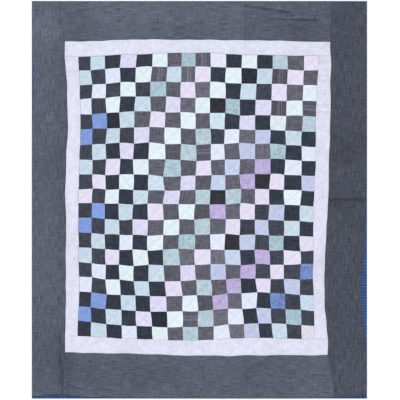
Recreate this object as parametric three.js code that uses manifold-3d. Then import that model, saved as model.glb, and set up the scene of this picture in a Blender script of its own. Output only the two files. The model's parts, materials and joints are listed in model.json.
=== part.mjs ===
// A pieced and quilted cotton bed quilt, laid out flat with its face up.
//
// Millimetres, +Z up. X runs across the quilt and Y along it, with the head end at +Y.
// The origin is on the surface that the quilt lies on, under its middle.
//
// Every piece is drawn first on a true, straight layout, as it was cut. The seams of the
// finished quilt wander by up to 20 mm, so each point is then shifted by how far the seams
// near it have drifted sideways and risen lengthways. Neighbouring pieces share those
// shifts, so their edges stay side by side.
import * as THREE from 'three';
import { mergeVertices } from 'three/addons/utils/BufferGeometryUtils.js';
import Module from 'manifold-3d';

const wasm = await Module();
wasm.setup();

// ---------------------------------------------------------------- driving dimensions

// The whole quilt, edge to edge over the binding.
const overall = { width: 1720, length: 2040 };

// The field is a grid of small squares. Its outermost squares are a little narrower.
const columns = 16;
const rows = 19;
const patch = 77.4;
const gridCentre = { x: -16, y: 14.5 };
const field = { left: -617, right: 600, top: 747, bottom: -714 };

// The outer edges of the inner border and of the quilt.
const inner = { left: -683, right: 661, top: 815, bottom: -794 };
const outer = {
  left: -overall.width / 2,
  right: overall.width / 2,
  top: overall.length / 2,
  bottom: -overall.length / 2,
};

// Where the two lengths of the right strip, and of the top strip, are joined.
const join = { rightStripY: 0, topStripX: 232 };

// The quilt's thickness: where the stitches pull it flat, and what the wadding adds.
const stitchedThickness = 2;
const loft = 2.4;
const fullLoftAt = 22;
const bindingThickness = 3.8;

// The gap between neighbouring pieces.
const seamGap = 0.3;

// Quilting of the borders: two waves that cross every pitch and swing either side of the
// strip's middle. One crossing is at crossX on the strips that run across, and one is at
// crossY on the strips that run lengthways.
const innerCable = { pitch: 129, swing: 24, crossX: -31, crossY: 32 };
const outerCable = { pitch: 190, swing: 62, crossX: 14, crossY: 95 };

// The seams between columns, counted from the left edge, and between rows, from the top.
const columnSeam = (count) => {
  if (count === 0) return field.left;
  if (count === columns) return field.right;
  return gridCentre.x + (count - columns / 2) * patch;
};
const rowSeam = (count) => {
  if (count === 0) return field.top;
  if (count === rows) return field.bottom;
  return gridCentre.y - (count - rows / 2) * patch;
};

// How far each lengthways seam has drifted to the right, at seven places from foot to head.
const driftPlaces = {
  foot: rowSeam(19), low: rowSeam(16), belowMid: rowSeam(13), mid: rowSeam(10),
  aboveMid: rowSeam(7), high: rowSeam(4), head: rowSeam(0),
};
const drift = [
  { seam: outer.left, foot: 0, low: 0, belowMid: 0, mid: 0, aboveMid: 0, high: 0, head: 0 },
  { seam: inner.left, foot: -4, low: -2, belowMid: 1, mid: -2, aboveMid: 2, high: 11, head: -3 },
  { seam: columnSeam(0), foot: -6, low: -1, belowMid: -5, mid: -6, aboveMid: 1, high: 4, head: -2 },
  { seam: columnSeam(2), foot: 0, low: 0, belowMid: -4, mid: -5, aboveMid: -1, high: 2, head: -5 },
  { seam: columnSeam(4), foot: 3, low: -8, belowMid: -19, mid: -19, aboveMid: -13, high: -10, head: 3 },
  { seam: columnSeam(8), foot: 12, low: 4, belowMid: -7, mid: -4, aboveMid: -1, high: -4, head: -3 },
  { seam: columnSeam(12), foot: 12, low: -2, belowMid: -9, mid: -9, aboveMid: -9, high: -8, head: 3 },
  { seam: columnSeam(14), foot: -2, low: -14, belowMid: -16, mid: -18, aboveMid: -6, high: -4, head: 1 },
  { seam: columnSeam(16), foot: -6, low: -17, belowMid: -20, mid: -17, aboveMid: -6, high: -4, head: 9 },
  { seam: inner.right, foot: -2, low: -20, belowMid: -17, mid: -2, aboveMid: 5, high: 10, head: 11 },
  { seam: outer.right, foot: 0, low: 0, belowMid: 0, mid: 0, aboveMid: 0, high: 0, head: 0 },
];

// How far each crossways seam has risen towards the head, at five places from left to right.
const risePlaces = {
  left: columnSeam(0), leftMid: columnSeam(4), mid: columnSeam(8), rightMid: columnSeam(12),
  right: columnSeam(16),
};
const rise = [
  { seam: outer.bottom, left: 0, leftMid: 0, mid: 0, rightMid: 0, right: 0 },
  { seam: inner.bottom, left: 10, leftMid: 3, mid: -5, rightMid: -5, right: -5 },
  { seam: rowSeam(19), left: 19, leftMid: 7, mid: -2, rightMid: 10, right: 2 },
  { seam: rowSeam(18), left: 19, leftMid: -5, mid: -7, rightMid: 12, right: 0 },
  { seam: rowSeam(16), left: 15, leftMid: 0, mid: 4, rightMid: 14, right: 4 },
  { seam: rowSeam(13), left: 10, leftMid: 0, mid: 3, rightMid: 0, right: -1 },
  { seam: rowSeam(10), left: 12, leftMid: 6, mid: 5, rightMid: 3, right: -6 },
  { seam: rowSeam(6), left: 0, leftMid: 10, mid: 0, rightMid: 7, right: -7 },
  { seam: rowSeam(3), left: 3, leftMid: 15, mid: 7, rightMid: -3, right: -9 },
  { seam: rowSeam(0), left: -9, leftMid: 3, mid: 11, rightMid: -1, right: -8 },
  { seam: inner.top, left: -2, leftMid: 6, mid: 6, rightMid: 4, right: -5 },
  { seam: outer.top, left: 0, leftMid: 0, mid: 0, rightMid: 0, right: 0 },
];

// How wide the binding shows, at places along each edge.
const bindingShows = {
  left: [
    { at: -1020, wide: 6 }, { at: -845, wide: 6 }, { at: -715, wide: 6 }, { at: -600, wide: 3.5 },
    { at: 350, wide: 3.5 }, { at: 540, wide: 6 }, { at: 720, wide: 6 }, { at: 1020, wide: 3.5 },
  ],
  right: [
    { at: -1020, wide: 8 }, { at: -790, wide: 4 }, { at: -690, wide: 11 }, { at: -590, wide: 23 },
    { at: -430, wide: 28 }, { at: -290, wide: 20 }, { at: -150, wide: 7 }, { at: 560, wide: 5 },
    { at: 1020, wide: 5 },
  ],
  bottom: [
    { at: -860, wide: 10 }, { at: -760, wide: 23 }, { at: -680, wide: 22 }, { at: -610, wide: 10 },
    { at: -520, wide: 7 }, { at: 0, wide: 4 }, { at: 570, wide: 7 }, { at: 800, wide: 9 },
    { at: 860, wide: 20 },
  ],
  top: [
    { at: -860, wide: 7 }, { at: -740, wide: 5 }, { at: -600, wide: 3.5 }, { at: 700, wide: 3.5 },
    { at: 800, wide: 7 }, { at: 860, wide: 8 },
  ],
};

const cloth = {
  patchwork: new THREE.MeshStandardMaterial({ color: 0x8d939d, roughness: 0.95, metalness: 0 }),
  lavender: new THREE.MeshStandardMaterial({ color: 0xe6e3f5, roughness: 0.95, metalness: 0 }),
  chambray: new THREE.MeshStandardMaterial({ color: 0x5d6472, roughness: 0.95, metalness: 0 }),
  blue: new THREE.MeshStandardMaterial({ color: 0x2a5298, roughness: 0.9, metalness: 0 }),
};

// ---------------------------------------------------------------- how the seams wander

/** A smooth curve through values given at rising stations, level beyond the last ones. */
function smooth(stations, values, at) {
  const last = stations.length - 1;
  const place = THREE.MathUtils.clamp(at, stations[0], stations[last]);
  let low = 0;
  while (low < last - 1 && place > stations[low + 1]) low += 1;
  const slope = (n) => {
    const before = Math.max(n - 1, 0);
    const after = Math.min(n + 1, last);
    return (values[after] - values[before]) / (stations[after] - stations[before]);
  };
  const span = stations[low + 1] - stations[low];
  const t = (place - stations[low]) / span;
  const ease = t * t * (3 - 2 * t);
  const leaving = t * (1 - t) * (1 - t) * span * slope(low);
  const arriving = t * t * (1 - t) * span * slope(low + 1);
  return values[low] * (1 - ease) + values[low + 1] * ease + leaving - arriving;
}

/** Reads a table of seam shifts at one point: along each seam first, then between seams. */
function shiftFrom(table, places, along, across) {
  const names = Object.keys(places);
  const stations = names.map((name) => places[name]);
  const atSeams = table.map((row) => smooth(stations, names.map((name) => row[name]), along));
  return smooth(table.map((row) => row.seam), atSeams, across);
}

/** Where a point of the straight layout lies in the finished quilt. */
function settled(x, y) {
  return {
    x: x + shiftFrom(drift, driftPlaces, y, x),
    y: y + shiftFrom(rise, risePlaces, x, y),
  };
}

/** How wide the binding shows at a place along one edge. */
function bindingWidth(edge, along) {
  const table = bindingShows[edge];
  return smooth(table.map((row) => row.at), table.map((row) => row.wide), along);
}

// ---------------------------------------------------------------- the quilted surface

/** The quilt's thickness at a distance from the nearest line of stitching or seam. */
function thicknessAt(distance) {
  const raised = Math.min(distance / fullLoftAt, 1);
  return stitchedThickness + loft * Math.sin((raised * Math.PI) / 2);
}

/** How many squares a place is from the left edge or the top edge of the field. */
function squaresFromEdge(at, seamAt, count) {
  const first = seamAt(1);
  const last = seamAt(count - 1);
  const inside = (at - first) / (last - first);
  if (inside < 0) return (at - seamAt(0)) / (first - seamAt(0));
  if (inside > 1) return count - 1 + (at - last) / (seamAt(count) - last);
  return 1 + inside * (count - 2);
}

/** Each square is stitched from corner to corner both ways, so the seams' middles puff up. */
function fieldTop(x, y) {
  const across = squaresFromEdge(x, columnSeam, columns) % 1;
  const down = squaresFromEdge(y, rowSeam, rows) % 1;
  const toDiagonal = Math.min(Math.abs(across - down), Math.abs(across + down - 1));
  const toEdge = Math.min(x - field.left, field.right - x, field.top - y, y - field.bottom);
  return thicknessAt(Math.min(toDiagonal * patch * Math.SQRT1_2, toEdge));
}

/** The distance from a strip's middle line to the nearer of its two crossing waves. */
function toCable(cable, along, crossing, offset) {
  const wave = cable.swing * Math.sin((Math.PI * (along - crossing)) / cable.pitch);
  const slant = Math.hypot(1, (Math.PI * cable.swing) / cable.pitch);
  return Math.min(Math.abs(offset - wave), Math.abs(offset + wave)) / slant;
}

/** The top of a strip that runs across the quilt, between two lengthways limits. */
function crossStripTop(cable, low, high) {
  return (x, y) => {
    const toSeam = Math.max(Math.min(y - low, high - y), 0);
    return thicknessAt(Math.min(toSeam, toCable(cable, x, cable.crossX, y - (low + high) / 2)));
  };
}

/** The top of a strip that runs lengthways, between two sideways limits. */
function sideStripTop(cable, low, high) {
  return (x, y) => {
    const toSeam = Math.max(Math.min(x - low, high - x), 0);
    return thicknessAt(Math.min(toSeam, toCable(cable, y, cable.crossY, x - (low + high) / 2)));
  };
}

// ---------------------------------------------------------------- one piece of the quilt

/** Even steps between stops, with the stops themselves kept. */
function stepsBetween(stops, counts) {
  const marks = [stops[0]];
  counts.forEach((count, k) => {
    for (let n = 1; n <= count; n += 1) {
      marks.push(THREE.MathUtils.lerp(stops[k], stops[k + 1], n / count));
    }
  });
  return marks;
}

/** The marks from one place to another, with both ends added. */
const between = (marks, from, to) => [from, ...marks.filter((mark) => mark > from + 1 && mark < to - 1), to];

/** The same marks with one more half way between each two. */
const halved = (marks) => stepsBetween(marks, marks.slice(1).map(() => 2));

/** Turns each quad of the top face so that its fold lies along the stitched valley. */
function foldAlongStitches(geometry) {
  const { index } = geometry;
  const height = (n) => geometry.attributes.position.getZ(n);
  const top = geometry.groups[4];
  for (let k = top.start; k < top.start + top.count; k += 6) {
    const [a, b, d] = [index.getX(k), index.getX(k + 1), index.getX(k + 2)];
    const c = index.getX(k + 4);
    if (height(a) + height(c) < height(b) + height(d)) {
      [a, b, c, a, c, d].forEach((corner, n) => index.setX(k + n, corner));
    }
  }
}

/** Makes a closed three.js mesh into a solid. */
function solidFrom(geometry) {
  const corners = new THREE.BufferGeometry();
  corners.setAttribute('position', geometry.attributes.position);
  corners.setIndex(geometry.index);
  const merged = mergeVertices(corners);
  return new wasm.Manifold(new wasm.Mesh({
    numProp: 3,
    vertProperties: new Float32Array(merged.attributes.position.array),
    triVerts: new Uint32Array(merged.index.array),
  }));
}

/** Trims a piece level underneath, so that it lies flat on the ground. */
function levelUnderneath(geometry) {
  const ground = new THREE.BoxGeometry(2 * overall.width, 2 * overall.length, 10);
  ground.translate(0, 0, -5);
  const { vertProperties, triVerts } = solidFrom(geometry).subtract(solidFrom(ground)).getMesh();
  const levelled = new THREE.BufferGeometry();
  levelled.setAttribute('position', new THREE.BufferAttribute(vertProperties, 3));
  levelled.setIndex(new THREE.BufferAttribute(triVerts, 1));
  levelled.computeVertexNormals();
  return levelled;
}

/**
 * One piece of the quilt. Its marks are where its points lie on the straight layout, from
 * left to right and from foot to head. A mark that follows an uneven edge is a function.
 */
function piece(name, material, acrossMarks, alongMarks, topAt) {
  const geometry = new THREE.BoxGeometry(1, 1, 1, acrossMarks.length - 1, alongMarks.length - 1, 1);
  const positions = geometry.attributes.position;
  const inset = (n, count) => {
    if (n === 0) return seamGap / 2;
    return n === count - 1 ? -seamGap / 2 : 0;
  };
  const valueOf = (mark, other) => (typeof mark === 'function' ? mark(other) : mark);
  const middleOf = (marks) => valueOf(marks[Math.floor(marks.length / 2)], 0);
  for (let n = 0; n < positions.count; n += 1) {
    const column = Math.round((positions.getX(n) + 0.5) * (acrossMarks.length - 1));
    const row = Math.round((positions.getY(n) + 0.5) * (alongMarks.length - 1));
    const roughX = typeof acrossMarks[column] === 'function' ? middleOf(acrossMarks) : acrossMarks[column];
    const y = valueOf(alongMarks[row], roughX) + inset(row, alongMarks.length);
    const x = valueOf(acrossMarks[column], y) + inset(column, acrossMarks.length);
    const place = settled(x, y);
    positions.setXYZ(n, place.x, place.y, positions.getZ(n) > 0 ? topAt(x, y) : -1);
  }
  foldAlongStitches(geometry);
  const mesh = new THREE.Mesh(levelUnderneath(geometry), material);
  mesh.name = name;
  return mesh;
}

// ---------------------------------------------------------------- the quilt

// Points that neighbouring pieces share: two for each square, and a few for each border.
const firstAndLastColumnSeam = [columnSeam(1), columnSeam(columns - 1)];
const acrossMarks = stepsBetween(
  [outer.left, inner.left, field.left, ...firstAndLastColumnSeam, field.right, inner.right, outer.right],
  [4, 2, 2, 2 * (columns - 2), 2, 2, 4],
);
const lastAndFirstRowSeam = [rowSeam(rows - 1), rowSeam(1)];
const alongMarks = stepsBetween(
  [outer.bottom, inner.bottom, field.bottom, ...lastAndFirstRowSeam, field.top, inner.top, outer.top],
  [5, 2, 2, 2 * (rows - 2), 2, 2, 5],
);

function makeField() {
  return piece(
    'field',
    cloth.patchwork,
    between(acrossMarks, field.left, field.right),
    between(alongMarks, field.bottom, field.top),
    fieldTop,
  );
}

/** Head and foot strips the full width of the inner frame, and side strips between them. */
function makeInnerBorder() {
  const fullWidth = halved(between(acrossMarks, inner.left, inner.right));
  const fieldLength = halved(between(alongMarks, field.bottom, field.top));
  const crossStrip = (name, low, high) => piece(
    name, cloth.lavender, fullWidth, stepsBetween([low, high], [4]), crossStripTop(innerCable, low, high),
  );
  const sideStrip = (name, low, high) => piece(
    name, cloth.lavender, stepsBetween([low, high], [4]), fieldLength, sideStripTop(innerCable, low, high),
  );
  return [
    crossStrip('inner_border_top', field.top, inner.top),
    crossStrip('inner_border_bottom', inner.bottom, field.bottom),
    sideStrip('inner_border_left', inner.left, field.left),
    sideStrip('inner_border_right', field.right, inner.right),
  ];
}

/** Side strips the full length of the quilt, and head and foot strips between them. */
function makeOuterBorder() {
  const headEdge = (x) => outer.top - bindingWidth('top', x);
  const footEdge = (x) => outer.bottom + bindingWidth('bottom', x);
  const leftEdge = (y) => outer.left + bindingWidth('left', y);
  const rightEdge = (y) => outer.right - bindingWidth('right', y);
  const divided = (from, to) => stepsBetween([from, to], [4]);

  const leftMarks = [leftEdge, ...divided(outer.left, inner.left).slice(1)];
  const rightMarks = [...divided(inner.right, outer.right).slice(0, -1), rightEdge];
  const headMarks = [...divided(inner.top, outer.top).slice(0, -1), headEdge];
  const footMarks = [footEdge, ...divided(outer.bottom, inner.bottom).slice(1)];

  const fullLength = [footEdge, ...alongMarks.slice(1, -1), headEdge];
  const upperLength = [...between(alongMarks, join.rightStripY, outer.top).slice(0, -1), headEdge];
  const lowerLength = [footEdge, ...between(alongMarks, outer.bottom, join.rightStripY).slice(1)];
  const fullWidth = between(acrossMarks, inner.left, inner.right);
  const longWidth = between(acrossMarks, inner.left, join.topStripX);
  const shortWidth = between(acrossMarks, join.topStripX, inner.right);

  const leftTop = sideStripTop(outerCable, outer.left, inner.left);
  const rightTop = sideStripTop(outerCable, inner.right, outer.right);
  const headTop = crossStripTop(outerCable, inner.top, outer.top);
  const footTop = crossStripTop(outerCable, outer.bottom, inner.bottom);
  const strip = (end, across, along, topAt) => (
    piece(`outer_border_${end}`, cloth.chambray, across, along, topAt)
  );
  return [
    strip('left', leftMarks, fullLength, leftTop),
    strip('right_upper', rightMarks, upperLength, rightTop),
    strip('right_lower', rightMarks, lowerLength, rightTop),
    strip('top_long', longWidth, headMarks, headTop),
    strip('top_short', shortWidth, headMarks, headTop),
    strip('bottom', fullWidth, footMarks, footTop),
  ];
}

/** Four narrow strips round the edge, rounded on top. The side ones run past the others. */
function makeBinding() {
  const shown = (edge, fromEdge, part) => (along) => fromEdge + part * bindingWidth(edge, along);
  const rolled = (edge, along, depth) => {
    const share = THREE.MathUtils.clamp(depth / bindingWidth(edge, along), 0.1, 0.9);
    return stitchedThickness + (bindingThickness - stitchedThickness) * Math.sin(Math.PI * share);
  };

  const leftMarks = [outer.left, shown('left', outer.left, 0.5), shown('left', outer.left, 1)];
  const rightMarks = [shown('right', outer.right, -1), shown('right', outer.right, -0.5), outer.right];
  const footMarks = [outer.bottom, shown('bottom', outer.bottom, 0.5), shown('bottom', outer.bottom, 1)];
  const headMarks = [shown('top', outer.top, -1), shown('top', outer.top, -0.5), outer.top];
  const betweenSides = [
    shown('left', outer.left, 1),
    ...acrossMarks.slice(1, -1),
    shown('right', outer.right, -1),
  ];

  const strip = (edge, across, along, topAt) => (
    piece(`binding_${edge}`, cloth.blue, across, along, topAt)
  );
  return [
    strip('left', leftMarks, alongMarks, (x, y) => rolled('left', y, x - outer.left)),
    strip('right', rightMarks, alongMarks, (x, y) => rolled('right', y, outer.right - x)),
    strip('top', betweenSides, headMarks, (x, y) => rolled('top', x, outer.top - y)),
    strip('bottom', betweenSides, footMarks, (x, y) => rolled('bottom', x, y - outer.bottom)),
  ];
}

const quilt = new THREE.Group();
quilt.add(makeField(), ...makeInnerBorder(), ...makeOuterBorder(), ...makeBinding());

export default quilt;
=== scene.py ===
# %% [markdown]
# # A patchwork quilt in worn cotton
#
# The real thing is three layers: a pieced cotton top, thin cotton wadding, and a plain blue
# backing whose edge is turned over to the front as a binding. Lines of hand stitching hold
# the layers together. Where they run the quilt is pulled flat, and between them it puffs.
#
# The frame holds that quilt as fifteen plain solids. This lesson dresses each one: a finer
# mesh with real seams, puckers and creases, a cotton for every patch, and the stitches.

# %% Load the frame
import json
import math
import random

import bmesh
import bpy
import numpy as np
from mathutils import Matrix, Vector, noise
from mathutils.bvhtree import BVHTree

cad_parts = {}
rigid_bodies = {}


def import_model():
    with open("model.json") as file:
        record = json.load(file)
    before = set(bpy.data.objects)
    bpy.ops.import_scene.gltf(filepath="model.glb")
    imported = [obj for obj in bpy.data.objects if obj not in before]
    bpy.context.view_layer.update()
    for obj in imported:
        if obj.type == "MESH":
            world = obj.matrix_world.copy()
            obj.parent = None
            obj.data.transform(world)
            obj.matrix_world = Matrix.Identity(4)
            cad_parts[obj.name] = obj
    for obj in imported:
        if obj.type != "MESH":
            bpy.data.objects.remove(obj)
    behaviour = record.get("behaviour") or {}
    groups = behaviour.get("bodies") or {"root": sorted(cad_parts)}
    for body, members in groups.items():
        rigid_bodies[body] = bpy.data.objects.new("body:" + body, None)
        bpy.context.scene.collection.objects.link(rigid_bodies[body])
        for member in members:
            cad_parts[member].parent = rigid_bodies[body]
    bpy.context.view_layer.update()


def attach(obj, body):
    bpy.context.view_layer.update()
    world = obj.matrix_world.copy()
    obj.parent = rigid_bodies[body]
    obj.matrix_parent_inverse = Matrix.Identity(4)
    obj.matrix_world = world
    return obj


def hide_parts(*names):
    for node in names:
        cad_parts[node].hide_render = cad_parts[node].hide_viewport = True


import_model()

# %% [markdown]
# ## Camera, floor and light first
#
# A quilt shows best laid flat and seen from straight above, through a long lens that keeps
# its edges square. So the camera hangs over the middle and looks down. Soft light from a
# whole pale room does most of the work. One broad lamp, high to one side, is just strong
# enough to show the puffs and puckers, which are only a few millimetres high.

# %% Hang the camera over the quilt
MM = 0.001
# The width seen and where its middle lies, in metres; the lens and the film, in millimetres.
picture = {"side": 2.0525, "lens": 90, "sensor": 36, "right_of_middle": 0.0030, "above_middle": -0.0010}

camera = bpy.data.objects.new("camera", bpy.data.cameras.new("camera"))
bpy.context.collection.objects.link(camera)
camera.data.lens = picture["lens"]
camera.data.sensor_width = picture["sensor"]
camera.data.sensor_fit = "HORIZONTAL"
height = picture["side"] * picture["lens"] / picture["sensor"]
camera.location = (picture["right_of_middle"], picture["above_middle"], height + 3 * MM)
bpy.context.scene.camera = camera
bpy.context.scene.view_settings.view_transform = "Standard"
print("The camera hangs", round(height, 2), "metres up")

# %% Helpers for materials
def new_material(name):
    """A new material, with its node tree and its shader."""
    material = bpy.data.materials.new(name)
    material.use_nodes = True
    return material, material.node_tree, material.node_tree.nodes["Principled BSDF"]


def add_node(tree, kind, inputs=None, **settings):
    """A new node with some of its inputs and settings filled in."""
    made = tree.nodes.new(kind)
    for name, value in settings.items():
        setattr(made, name, value)
    for name, value in (inputs or {}).items():
        made.inputs[name].default_value = value
    return made


def from_screen(red, green, blue):
    """A colour as a screen shows it, from 0 to 255, as the light that it stands for."""
    def light(part):
        share = part / 255
        return share / 12.92 if share <= 0.04045 else ((share + 0.055) / 1.055) ** 2.4
    return tuple(light(part) for part in (red, green, blue))


def plain_material(name, colour, roughness):
    """A plain material whose colour is broken up a little, as paint or thread is."""
    material, tree, shader = new_material(name)
    shader.inputs["Roughness"].default_value = roughness
    shader.inputs["Specular IOR Level"].default_value = 0.2
    place = tree.nodes.new("ShaderNodeTexCoord")
    cloud = add_node(tree, "ShaderNodeTexNoise", {"Scale": 9})
    shades = {"A": (*[0.97 * part for part in colour], 1), "B": (*colour, 1)}
    tint = add_node(tree, "ShaderNodeMix", shades, data_type="RGBA")
    tree.links.new(place.outputs["Object"], cloud.inputs["Vector"])
    tree.links.new(cloud.outputs["Fac"], tint.inputs["Factor"])
    tree.links.new(tint.outputs["Result"], shader.inputs["Base Color"])
    return material


print("A mid grey on a screen is", round(from_screen(128, 128, 128)[0], 3), "of white's light")

# %% Lay a pale floor and light it softly
light = {"room": 0.722, "lamp": 1.42, "lamp_width": 16, "lamp_side": (-0.45, 0.5, 1.0)}

floor_mesh = bpy.data.meshes.new("floor")
bm = bmesh.new()
bmesh.ops.create_grid(bm, x_segments=1, y_segments=1, size=20)
bmesh.ops.translate(bm, vec=(0, 0, -0.2 * MM), verts=bm.verts)
bm.to_mesh(floor_mesh)
bm.free()
floor = bpy.data.objects.new("floor", floor_mesh)
floor.data.materials.append(plain_material("pale floor", (0.96, 0.96, 0.96), 0.9))
bpy.context.collection.objects.link(floor)

room = bpy.data.worlds.new("pale room")
room.use_nodes = True
room.node_tree.nodes["Background"].inputs["Color"].default_value = (1, 1, 1, 1)
room.node_tree.nodes["Background"].inputs["Strength"].default_value = light["room"]
bpy.context.scene.world = room

lamp = bpy.data.objects.new("broad lamp", bpy.data.lights.new("broad lamp", "SUN"))
lamp.data.energy = light["lamp"]
lamp.data.angle = math.radians(light["lamp_width"])
lamp.rotation_euler = Vector(light["lamp_side"]).to_track_quat("Z", "Y").to_euler()
bpy.context.collection.objects.link(lamp)
print("One lamp of strength", lamp.data.energy)

# %% [markdown]
# ## Setting out
#
# A quilt is drawn true and sewn crooked. First comes the straight layout that the maker
# cut: sixteen columns and nineteen rows of small squares, a narrow inner border and a wide
# outer one. Then comes how far each seam ended up from that layout. Hand piecing drifts by
# as much as twenty-two millimetres here, and that drift is half of the quilt's character.
# Two small tables hold it, a few millimetres of wobble go on top, and every piece reads the
# same numbers, so neighbours always fit.

# %% The straight layout, in millimetres
WIDTH, LENGTH = 1720, 2040
COLUMNS, ROWS, PATCH = 16, 19, 77.4
GRID_X, GRID_Y = -16, 14.5
field = {"left": -617, "right": 600, "top": 747, "bottom": -714}
inner = {"left": -683, "right": 661, "top": 815, "bottom": -794}
outer = {"left": -WIDTH / 2, "right": WIDTH / 2, "top": LENGTH / 2, "bottom": -LENGTH / 2}
SIDE_JOIN_Y, HEAD_JOIN_X = 0, 232
STITCHED, LOFT, FULL_LOFT_AT = 2.0, 2.4, 22
BINDING_THICKNESS = 3.8
SEAM_GAP = 0.05


def column_seam(count):
    """Where the seam after that many columns runs, from the left."""
    ends = {0: field["left"], COLUMNS: field["right"]}
    return ends.get(count, GRID_X + (count - COLUMNS / 2) * PATCH)


def row_seam(count):
    """Where the seam after that many rows runs, from the top."""
    ends = {0: field["top"], ROWS: field["bottom"]}
    return ends.get(count, GRID_Y - (count - ROWS / 2) * PATCH)


column_seams = [column_seam(count) for count in range(COLUMNS + 1)]
row_seams = [row_seam(count) for count in range(ROWS + 1)]
print(COLUMNS * ROWS, "patches of", PATCH, "mm")

# %% How far the seams have drifted
# Lengthways seams, left to right. Each line is a seam, then its shift to the right at the
# rows named here, from the foot to the head.
drift_rows = [row_seam(count) for count in (19, 16, 13, 10, 7, 4, 0)]
drift = [
    (outer["left"], 0, 0, 0, 0, 0, 0, 0),
    (inner["left"], -6, -2, -1, -4, 0, 9, -6),
    (column_seam(0), -7, 0, -2, -4, 3, 6, -3),
    (column_seam(1), 2, 4, 5, 5, 9, 7, -2),
    (column_seam(2), 3, 3, -3, -3, 1, 2, -4),
    (column_seam(4), 6, -6, -16, -15, -11, -8, 5),
    (column_seam(6), 11, -1, -17, -14, -6, -3, 8),
    (column_seam(8), 8, 6, -7, -9, 0, -5, -5),
    (column_seam(10), 18, 1, -10, -5, -10, -7, -2),
    (column_seam(12), 15, -1, -8, -8, -8, -6, 5),
    (column_seam(14), 3, -13, -13, -15, -9, -1, 5),
    (column_seam(15), 1, -9, -9, -9, -2, 1, 13),
    (column_seam(16), -6, -15, -15, -15, -3, -1, 13),
    (inner["right"], -3, -19, -14, -2, 4, 10, 13),
    (outer["right"], 0, 0, 0, 0, 0, 0, 0),
]
# Crossways seams, foot to head: a seam, then its shift towards the head at the columns
# named here, from left to right.
rise_columns = [column_seam(count) for count in (0, 4, 8, 12, 16)]
rise = [
    (outer["bottom"], 0, 0, 0, 0, 0),
    (inner["bottom"], 11, 3, -6, -5, -3),
    (row_seam(19), 14, 0, -7, 6, -4),
    (row_seam(18), 22, -7, -8, 9, -5),
    (row_seam(16), 16, -3, -1, 11, 0),
    (row_seam(15), 17, -6, 0, 8, 5),
    (row_seam(14), 15, -3, 2, 0, 3),
    (row_seam(12), 11, -3, 1, -1, -11),
    (row_seam(10), 9, 2, 2, 1, -9),
    (row_seam(9), 1, -3, -6, 1, -10),
    (row_seam(7), -3, 2, -7, 3, -9),
    (row_seam(6), -5, 7, -2, 2, -16),
    (row_seam(5), -1, 9, 3, -6, -17),
    (row_seam(3), -3, 13, 7, -3, -11),
    (row_seam(1), -10, 6, 9, 2, -8),
    (row_seam(0), -12, 0, 8, -5, -7),
    (inner["top"], -3, 7, 6, 3, -5),
    (outer["top"], 0, 0, 0, 0, 0),
]
print(len(drift), "lengthways seams and", len(rise), "crossways seams")

# %% Curves through the tables
def smooth(stations, values, at):
    """A smooth curve through the values at rising stations, level beyond the last ones."""
    stations = np.asarray(stations, float)
    values = np.asarray(values, float)
    last = len(stations) - 1
    at = np.clip(at, stations[0], stations[-1])
    low = np.clip(np.searchsorted(stations, at, side="right") - 1, 0, last - 1)

    def value(station):
        return values[station] if values.ndim == 1 else values[station, np.arange(at.size)]

    def slope(station):
        before = np.maximum(station - 1, 0)
        after = np.minimum(station + 1, last)
        return (value(after) - value(before)) / (stations[after] - stations[before])

    span = stations[low + 1] - stations[low]
    t = (at - stations[low]) / span
    ease = t * t * (3 - 2 * t)
    leaving = t * (1 - t) ** 2 * span * slope(low)
    arriving = t * t * (1 - t) * span * slope(low + 1)
    return value(low) * (1 - ease) + value(low + 1) * ease + leaving - arriving


def shift_from(table, places, along, across):
    """Reads a table of shifts: along each seam first, then from seam to seam."""
    at_seams = [smooth(places, line[1:], along) for line in table]
    return smooth([line[0] for line in table], at_seams, across)


seams_at = np.array([-300.0, 0.0, 300.0])
print("Halfway up, seams drift", shift_from(drift, drift_rows, np.zeros(3), seams_at).round(1), "mm")

# %% Settle a point of the layout where the quilt has it
def bumps(x, y, size, seed):
    """Even, rolling unevenness from -1 to 1, with features of that size."""
    points = np.column_stack([x / size, y / size, np.full(len(x), 7.31 * seed)])
    return np.array([noise.noise(point) for point in points])


WOBBLE, WOBBLE_SIZE, FIRM_EDGE = 4.5, 90, 60


def settled(x, y):
    """Where points of the straight layout lie in the finished quilt."""
    x = np.asarray(x, float)
    y = np.asarray(y, float)
    to_edge = np.minimum(WIDTH / 2 - np.abs(x), LENGTH / 2 - np.abs(y))
    wobble = WOBBLE * np.clip(to_edge / FIRM_EDGE, 0, 1)
    right = shift_from(drift, drift_rows, y, x) + wobble * bumps(x, y, WOBBLE_SIZE, 51)
    ahead = shift_from(rise, rise_columns, x, y) + wobble * bumps(x, y, WOBBLE_SIZE, 52)
    return x + right, y + ahead


corner_x, corner_y = settled([field["left"]], [field["top"]])
print("The field's head corner lies at", round(corner_x[0]), round(corner_y[0]), "mm")

# %% [markdown]
# ## The lines of quilting
#
# Each little square is stitched from corner to corner, both ways. Both borders carry a
# chain of ovals, which is two waves that cross again and again. The distance to the nearest
# line decides how high the quilt stands, so one function of distance shapes everything.

# %% Waves for the borders, and the height that a distance gives
inner_cable = {"pitch": 129, "swing": 24, "cross_x": -31, "cross_y": 32, "ease": 8}
outer_cable = {"pitch": 190, "swing": 62, "cross_x": 14, "cross_y": 95, "ease": 7}


def wave(cable, along, crossing):
    """How far the wave lies from the strip's middle line."""
    return cable["swing"] * np.sin(np.pi * (along - crossing) / cable["pitch"])


def to_cable(cable, along, crossing, offset):
    """The distance to the nearer of the two crossing waves."""
    away = wave(cable, along, crossing)
    slant = math.hypot(1, math.pi * cable["swing"] / cable["pitch"])
    return np.minimum(np.abs(offset - away), np.abs(offset + away)) / slant


# Close to the stitching the quilt rises over a few millimetres, and then more gently.
STEEP_OVER, STEEP_SHARE, GENTLE_SHARE = 4, 0.55, 0.45


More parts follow.
